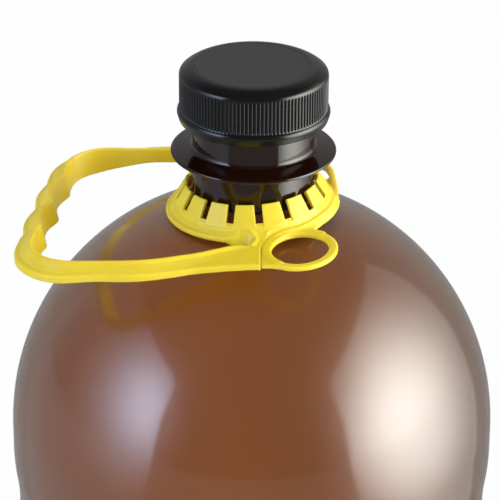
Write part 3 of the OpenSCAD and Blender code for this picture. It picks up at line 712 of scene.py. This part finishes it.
def collar_distance(x, y, h):
    """Distance to the collar with its hinge plates, strap and loop, in the handle's frame."""
    r, a = np.hypot(x, y), np.arctan2(y, x)
    cone = fingers_distance(r, a, h)
    top = sheet(hinge_height, h, x, y, 1.6)
    inner = SKIRT_FOOT[0] - 0.9 - r
    # skirt with a bead at its edge, on the side of the bail
    bead = box2(r - RIM_R + 0.9, h + 0.45, 0.9, 0.95, 0.85)
    rim = smin(smax(top, r - RIM_R + 0.5, 0.3), bead, 0.9)
    rim = smax(rim, sector(a, r, 38, 262), 0.4)
    # hinge plates, cut straight where the bail begins
    plate = np.maximum(np.abs(y) - HINGE_Y + 0.05, x - HINGE_END_X - 0.3 - 4 * (y < 0))
    plate = np.maximum(plate, -x - HINGE_END_X)
    plate = np.maximum(plate, np.where(x < TURN_X, r - RIM_R, -9.0))
    plate = np.maximum(top, plate)
    # tab and strap
    flat = sheet(lambda x, y: skirt_height(np.hypot(x, y)) - 0.12, h, x, y, 1.7)
    tab = smax(flat, polygon2(x, y, TAB), 0.5)
    band = segment2(r, h, (33.4, 1.35), (34.85, -0.9)) - 0.85
    band = smax(band, sector(a, r, -73, 7), 0.3)
    loose = slab(path2(x, y, STRAP_END) - 1.15, h, -1.9, 1.7, 0.75)
    valley = np.minimum(polygon2(x, y, VALLEY), np.maximum(sector(a, r, -65, 0), r - 34.4))
    valley = smax(flat, valley, 0.4)
    strap = smin(smin(smin(band, loose, 0.7), valley, 1.0), tab, 1.0)
    strap = smax(strap, -np.maximum(polygon2(x, y, NOTCH), NOTCH_R - r), 0.5)
    # ring of the loop, round its hole
    ring = box2(oval(x, y, RING_W / 2), h + RING_T / 2, RING_W / 2, RING_T / 2, 0.95)
    loop = smax(smin(strap, ring, 1.2), -oval(x, y), 0.7)
    # nothing of the loop lies over the bail's plate
    edge = HINGE_END_X + 0.15 + np.maximum(-HINGE_Y - y, 0) * 0.12
    loop = smax(loop, np.where(y < 0.15 - HINGE_Y, edge - x, -9.0), 0.1)
    body = smin(smin(rim, plate, 0.3), loop, 0.3)
    body = smin(cone, smax(body, inner, 0.3), 0.7)
    # score line: a shallow round groove along the tear path
    score = np.hypot(path2(x, y, TEAR), h - skirt_height(r) - 0.62) - 0.85
    return smax(body, -score, 0.45)


def collar_piece():
    """Collar, hinge plates, strap and loop, as one net over their distance."""
    step = 0.4
    points, faces, normals = net(collar_distance, (-38, -62, -4.4), (42, 47, 12.6), step)
    placed = on_neck(points)
    make("collar_and_loop", placed, faces, YELLOW, "collar",
         ["snap_collar", "hinge_necks", "tear_strap", "pull_loop"],
         on_neck(points + normals) - placed)


# ---- handle: bail -------------------------------------------------------------------------

def corner_path(corners, radii, n=24):
    """Path through corners, each rounded by an arc of its own radius."""
    out = [np.array([corners[0]], float)]
    for a, b, c, r in zip(corners, corners[1:], corners[2:], radii[1:]):
        a, b, c = (np.array(p, float) for p in (a, b, c))
        u, v = (b - a) / np.linalg.norm(b - a), (c - b) / np.linalg.norm(c - b)
        turn = math.acos(float(np.clip(u @ v, -1, 1)))
        side = 1.0 if u[0] * v[1] - u[1] * v[0] > 0 else -1.0
        start = b - u * r * math.tan(turn / 2)
        centre = start + side * r * np.array([-u[1], u[0]])
        t = side * np.linspace(0, turn, n + 1)[:, None]
        q = start - centre
        out.append(centre + q * np.cos(t) + np.array([-q[1], q[0]]) * np.sin(t))
    out.append(np.array([corners[-1]], float))
    return np.vstack(out)


def resample(path, n):
    """n points at even distances along a path."""
    s = np.concatenate([[0], np.cumsum(np.linalg.norm(np.diff(path, axis=0), axis=1))])
    t = np.linspace(0, s[-1], n)
    return np.stack([np.interp(t, s, path[:, k]) for k in range(2)], 1)


# Grip: distance from the neck axis, pitch and depth of the finger hollows, depth of the last ones
GRIP_X, PITCH, HOLLOW, END_IN = 83.8, 25.4, 3.4, 2.0
# Distance of each arm from the middle plane, at the grip
FRONT_W, REAR_W = 59.0, 54.0
# Grip corners: inner radius, how much wider the outer one is; added width; width of the arms
CORNER_R, CORNER_MORE, CORNER_W, ARM_W = 20.0, 8, 5.5, 9.4
LOBE_X = GRIP_X + HOLLOW
# Share of the hollows that the outer edge follows, and that edge's place
LIP_WAVE = 0.6
LIP_X = GRIP_X + 8.4 + LIP_WAVE * HOLLOW
REAR_SAG = 1.3


def crest(y):
    """How far the grip stands in: crests between the finger hollows, of depth
    h (1 - sqrt(sin^2(pi y / pitch) + 0.01)), and shallow last hollows."""
    y = np.asarray(y, float)
    wave = HOLLOW * (1 - np.sqrt(np.sin(np.pi * y / PITCH) ** 2 + 0.01) / math.sqrt(1.01))
    last = END_IN * smooth((np.abs(y) - PITCH) / (0.15 * PITCH))
    return np.where(np.abs(y) > 1.5 * PITCH, END_IN, np.maximum(wave, last))


def arm(half_w):
    """Inner and outer edge of an arm in plan, from its hinge plate to the grip, both drawn on
    the side of the front arm, and how far from the middle they end."""
    outer_r = CORNER_R + CORNER_MORE
    end = min(half_w - CORNER_R * 1.1, half_w + CORNER_W - outer_r * 1.1) - 0.5
    mid = 57 - (FRONT_W - half_w) * 0.3
    inner = corner_path([(HINGE_END_X, -HINGE_Y), (-2, -HINGE_Y), (-16, -HINGE_Y - 7.9),
                         (-36, -mid), (END_IN - LOBE_X, -half_w),
                         (-LOBE_X + float(crest(end)), -end)], [0, 10, 30, 60, CORNER_R, 0])
    outer = corner_path([(HINGE_END_X + SCORE_LEAN, -PLATE_Y), (-3, -PLATE_Y - 0.3),
                         (-16, -PLATE_Y - 1.7), (-38, -mid - ARM_W),
                         (LIP_WAVE * END_IN - LIP_X, -half_w - CORNER_W),
                         (-LIP_X + LIP_WAVE * float(crest(end)), -end)],
                        [0, 10, 30, 60, outer_r, 0])
    return resample(inner, 150), resample(outer, 150), end


def bail_paths():
    """Inner and outer edge of the whole bail in plan, in matching order."""
    front_in, front_out, front_end = arm(FRONT_W)
    rear_in, rear_out, rear_end = arm(REAR_W)
    y = np.linspace(-front_end, rear_end, 145)[1:-1]
    turn = np.array([1, -1])
    return (np.vstack([front_in, np.stack([-LOBE_X + crest(y), y], 1), rear_in[::-1] * turn]),
            np.vstack([front_out, np.stack([-LIP_X + LIP_WAVE * crest(y), y], 1),
                       rear_out[::-1] * turn]))


def sides(path):
    """Directions out of the bail, along the score line at both plates."""
    d = np.gradient(path, axis=0)
    d /= np.linalg.norm(d, axis=1)[:, None]
    n = np.stack([-d[:, 1], d[:, 0]], 1)
    end = np.array([SCORE_LEAN, HINGE_Y - PLATE_Y])
    n[0] = end / np.linalg.norm(end)
    n[-1] = n[0] * [1, -1]
    return n


def soften(section, r):
    """Each corner of closed sections becomes a small curve; r is how far it reaches."""
    before, after = np.roll(section, 1, 1), np.roll(section, -1, 1)
    parts = []
    for other in (before, after):
        d = other - section
        size = np.linalg.norm(d, axis=2, keepdims=True)
        parts.append(section + d / np.maximum(size, 1e-6) * np.minimum(r, size * 0.48))
    steps = [(1 - t) ** 2 * parts[0] + 2 * t * (1 - t) * section + t * t * parts[1]
             for t in (0, 0.33, 0.67, 1)]
    return np.stack(steps, 2).reshape(len(section), -1, 3)


def bail_piece():
    """Bail swept from hinge plate to hinge plate: web at the inner edge with a rounded ridge,
    flange that falls outwards, lip. k grows from 0 at the plate to 1 on the arm, m from 0 on
    the arm to 1 at the grip."""
    inner, outer = bail_paths()
    na, nb = sides(inner), sides(outer)
    x = inner[:, 0]
    k = smooth((6.6 - x) / 8)
    m = smooth((-x - 50) / 30)
    # the flange falls to the lip by nothing on the plate, 1.6 mm on the arm, 3.4 mm at the grip
    fall = mix(mix(0.05, 1.6, smooth((6.6 - x) / 30)), 3.4, smooth((-x - 44) / 24))
    ridge = mix(0.15, 0.85, k)
    # the web's lower edge is blunter than its crests: a running mean of the inner edge
    blunt = np.stack([np.convolve(np.pad(inner[:, c], 4, "edge"), np.full(9, 1 / 9), "valid")
                      for c in range(2)], 1)
    top, edge = -0.2 * k, -fall
    # thickness of the flange, depths of the web and the lip, and how far the web leans inwards
    flange = mix(2.35, 1.8, k)
    web = mix(mix(2.5, 5.6, k), 9.6, m)
    lip = fall + mix(2.45, 2.7, k) + 0.6 * smooth((-x - 10) / 30)
    lean = 1.6 * m

    def place(path, n, out, h):
        """Points beside a path, out along its directions n, at the height h."""
        out = out + 0 * k
        return np.column_stack([path[:, 0] + n[:, 0] * out, path[:, 1] + n[:, 1] * out, h + 0 * k])

    section = np.stack([
        place(inner, na, 0.25, ridge), place(inner, na, 1.5, ridge),
        place(inner, na, 2.5, top - 0.1 * k), place(outer, nb, -2.2, edge + 0.12),
        place(outer, nb, -0.5, edge), place(outer, nb, 0, edge - 0.7),
        place(outer, nb, 0, -lip), place(outer, nb, -1.5, -lip),
        place(outer, nb, -1.5, edge - flange), place(inner, na, 1.7, top - flange),
        place(blunt, na, 1.7 - lean, -web), place(blunt, na, -lean, -web),
        place(inner, na, 0, ridge - 0.7)], 1)
    rings = soften(section, 0.45)
    # the rear arm hangs a little
    rings[..., 2] -= (REAR_SAG * smooth((rings[..., 1] - 20) / 20)
                      * smooth((-rings[..., 0] - 4) / 20) * smooth((rings[..., 0] + 85) / 25))
    # the end faces start a touch inside the last rings, so that their edges stay sharp
    first, last = (mix(rings[i].mean(0), rings[i], 0.995)[None] for i in (0, -1))
    rings = np.concatenate([first, rings, last])
    points, faces = rings_to_mesh(rings, rings[0].mean(0)[None], rings[-1].mean(0)[None])
    make("bail", on_neck(points), faces, YELLOW, "bail",
         ["front_arm", "rear_arm", "finger_grip"])


neck_piece()
body_piece()
cap_piece()
collar_piece()
bail_piece()


# ---- stage, light and camera ---------------------------------------------------------------

def floor_material():
    """Pale floor that is white to the camera and through the bottle, and that keeps the
    object's shadow. To reflections it glows with painted pools of light where the side panels would
    light it."""
    m = bpy.data.materials.new("studio floor")
    m.use_nodes = True
    tree = m.node_tree
    tree.nodes.clear()
    seen = add(tree, "LightPath")
    white = add(tree, "Math", {0: seen.outputs["Is Camera Ray"],
                               1: seen.outputs["Is Transmission Ray"]}, operation="MAXIMUM")
    any_ray = add(tree, "Math", {0: white.outputs[0], 1: seen.outputs["Is Glossy Ray"]},
                  operation="MAXIMUM")
    share = add(tree, "Math", {0: any_ray.outputs[0], 1: 0.85}, operation="MULTIPLY")
    # painted pools of light: to reflections the floor glows as if the side panels reached down to
    # it,
    #     # placed as seen from the left and the right shoulder of the bottle
    place = add(tree, "NewGeometry").outputs["Position"]
    away = [add(tree, "VectorMath", {0: place, 1: (side * 0.08, -0.06, 0.23)},
                operation="SUBTRACT").outputs[0] for side in (-1, 1)]
    painted_pools = add(tree, "VectorMath", {0: panels(tree, *away), 1: (0.2, 0.2, 0.2)}, operation="ADD")
    level = add(tree, "Mix", {0: white.outputs[0], 6: painted_pools.outputs[0], 7: (1, 1, 1, 1)},
                data_type="RGBA")
    matte = add(tree, "BsdfDiffuse", {"Color": (0.86, 0.86, 0.86, 1)})
    glow = add(tree, "Emission", {"Color": level.outputs[2], "Strength": 1.0})
    both = add(tree, "MixShader", {0: share.outputs[0], 1: matte.outputs[0], 2: glow.outputs[0]})
    out = add(tree, "OutputMaterial")
    tree.links.new(both.outputs[0], out.inputs["Surface"])
    return m


def floor():
    """Flat floor just under the feet, 18 m square."""
    size, n = 9.0, 12
    a = np.linspace(-size, size, n + 1)
    x, y = np.meshgrid(a, a, indexing="ij")
    points = np.stack([x, y, 0 * x - 0.0002], -1).reshape(-1, 3)
    i, j = np.meshgrid(range(n), range(n), indexing="ij")
    at = (i * (n + 1) + j).ravel()
    faces = np.stack([at, at + n + 1, at + n + 2, at + 1], 1).tolist()
    mesh = bpy.data.meshes.new("floor")
    mesh.from_pydata(points.tolist(), [], faces)
    mesh.materials.append(floor_material())
    plane = bpy.data.objects.new("floor", mesh)
    bpy.context.scene.collection.objects.link(plane)


def panel(tree, direction, right, middle, width, peak, fill):
    """Diffusing side panel of a light tent, seen in a direction: a square on the plane
    x = 1 or -1, peak exp(-distance^2 / width) round the lamp behind it, soft at its edges."""
    parts = add(tree, "SeparateXYZ", {"Vector": direction})
    side = add(tree, "Math", {0: parts.outputs["X"], 1: 1.0 if right else -1.0},
               operation="MULTIPLY").outputs[0]
    away = add(tree, "Math", {0: side, 1: 0.02}, operation="MAXIMUM").outputs[0]
    u = add(tree, "Math", {0: parts.outputs["Y"], 1: away}, operation="DIVIDE").outputs[0]
    v = add(tree, "Math", {0: parts.outputs["Z"], 1: away}, operation="DIVIDE").outputs[0]
    place = add(tree, "CombineXYZ", {"X": u, "Y": v})
    away = add(tree, "VectorMath", {0: place.outputs[0], 1: middle + (0.0,)},
               operation="DISTANCE").outputs["Value"]
    fall = add(tree, "Math", {0: away, 1: 2.0}, operation="POWER").outputs[0]
    fall = add(tree, "Math", {0: fall, 1: -1 / width}, operation="MULTIPLY").outputs[0]
    glow = add(tree, "Math", {0: fall}, operation="EXPONENT").outputs[0]
    level = add(tree, "Math", {0: glow, 1: peak, 2: fill}, operation="MULTIPLY_ADD").outputs[0]
    front = add(tree, "Math", {0: side, 1: 0.02}, operation="GREATER_THAN").outputs[0]
    level = add(tree, "Math", {0: level, 1: front}, operation="MULTIPLY").outputs[0]
    for across, edge in ((u, 0.97), (v, 1.03)):
        size = add(tree, "Math", {0: across}, operation="ABSOLUTE").outputs[0]
        soft = add(tree, "MapRange", {"Value": size, "From Min": edge - 0.05,
                                      "From Max": edge + 0.05, "To Min": 1.0, "To Max": 0.0},
                   interpolation_type="SMOOTHSTEP").outputs["Result"]
        level = add(tree, "Math", {0: level, 1: soft}, operation="MULTIPLY").outputs[0]
    return level


def panels(tree, left, right):
    """Colour of both side panels, seen along the directions left and right."""
    light = None
    for side, direction, middle, width, peak, fill, colour in (
            (False, left, (-0.75, 0.48), 0.25, 5.0, 0.12, (0.82, 1.0, 1.34)),
            (True, right, (-0.28, 0.12), 0.38, 10.0, 0.45, (1.0, 1.0, 0.93))):
        level = panel(tree, direction, side, middle, width, peak, fill)
        part = add(tree, "VectorMath", {0: colour, "Scale": level}, operation="SCALE").outputs[0]
        light = part if light is None else add(tree, "VectorMath", {0: light, 1: part},
                                               operation="ADD").outputs[0]
    return light


def world():
    """Inside of a light tent: two lit side panels, a dim back, and dark above and in front.
    The camera and what is seen through the bottle get a white backdrop."""
    w = bpy.data.worlds.new("light tent")
    bpy.context.scene.world = w
    w.use_nodes = True
    tree = w.node_tree
    tree.nodes.clear()
    seen = add(tree, "LightPath")
    plain = add(tree, "Math", {0: seen.outputs["Is Camera Ray"],
                               1: seen.outputs["Is Transmission Ray"]}, operation="MAXIMUM")
    direction = add(tree, "TexCoord").outputs["Generated"]
    light = panels(tree, direction, direction)
    parts = add(tree, "SeparateXYZ", {"Vector": direction})
    behind = add(tree, "MapRange", {"Value": parts.outputs["Y"], "From Min": 0.3,
                                    "From Max": 0.9, "To Min": 0.08, "To Max": 0.35},
                 interpolation_type="SMOOTHSTEP")
    # matte surfaces get an even share from all sides, glossy ones see the dim back and no more
    ambient = add(tree, "Mix", {0: seen.outputs["Is Glossy Ray"], 2: 0.58,
                                3: behind.outputs["Result"]}, data_type="FLOAT")
    share = add(tree, "Mix", {0: seen.outputs["Is Glossy Ray"], 2: 0.9, 3: 1.0},
                data_type="FLOAT")
    light = add(tree, "VectorMath", {0: light, "Scale": share.outputs[0]}, operation="SCALE")
    lit = add(tree, "VectorMath", {0: light.outputs[0], 1: ambient.outputs[0]}, operation="ADD")
    final = add(tree, "Mix", {0: plain.outputs[0], 6: lit.outputs[0], 7: (1, 1, 1, 1)},
                data_type="RGBA")
    sky = add(tree, "Background", {"Color": final.outputs[2], "Strength": 1.0})
    out = add(tree, "OutputWorld")
    tree.links.new(sky.outputs[0], out.inputs["Surface"])


def camera():
    """Camera 1.3 m away that looks down 26 degrees at the shoulder, with a long lens."""
    distance, focal_px, picture_px = 1.3, 3120.56, 500
    elevation, roll = math.radians(25.96), math.radians(0.34)
    target = Vector((-1.15, 0, FLANGE_Z - 46.88)) * MM
    back = Vector((0, -math.cos(elevation), math.sin(elevation)))
    right, up = Vector((1, 0, 0)), back.cross(Vector((1, 0, 0)))
    x = right * math.cos(roll) + up * math.sin(roll)
    y = up * math.cos(roll) - right * math.sin(roll)
    data = bpy.data.cameras.new("camera")
    data.sensor_width = 36.0
    data.lens = focal_px / picture_px * data.sensor_width
    data.clip_start, data.clip_end = 0.05, 50
    thing = bpy.data.objects.new("camera", data)
    thing.matrix_world = Matrix.Translation(target + back * distance) @ Matrix(
        (x, y, back)).transposed().to_4x4()
    bpy.context.scene.collection.objects.link(thing)
    bpy.context.scene.camera = thing


floor()
world()
camera()
bpy.context.scene.view_settings.view_transform = "Standard"
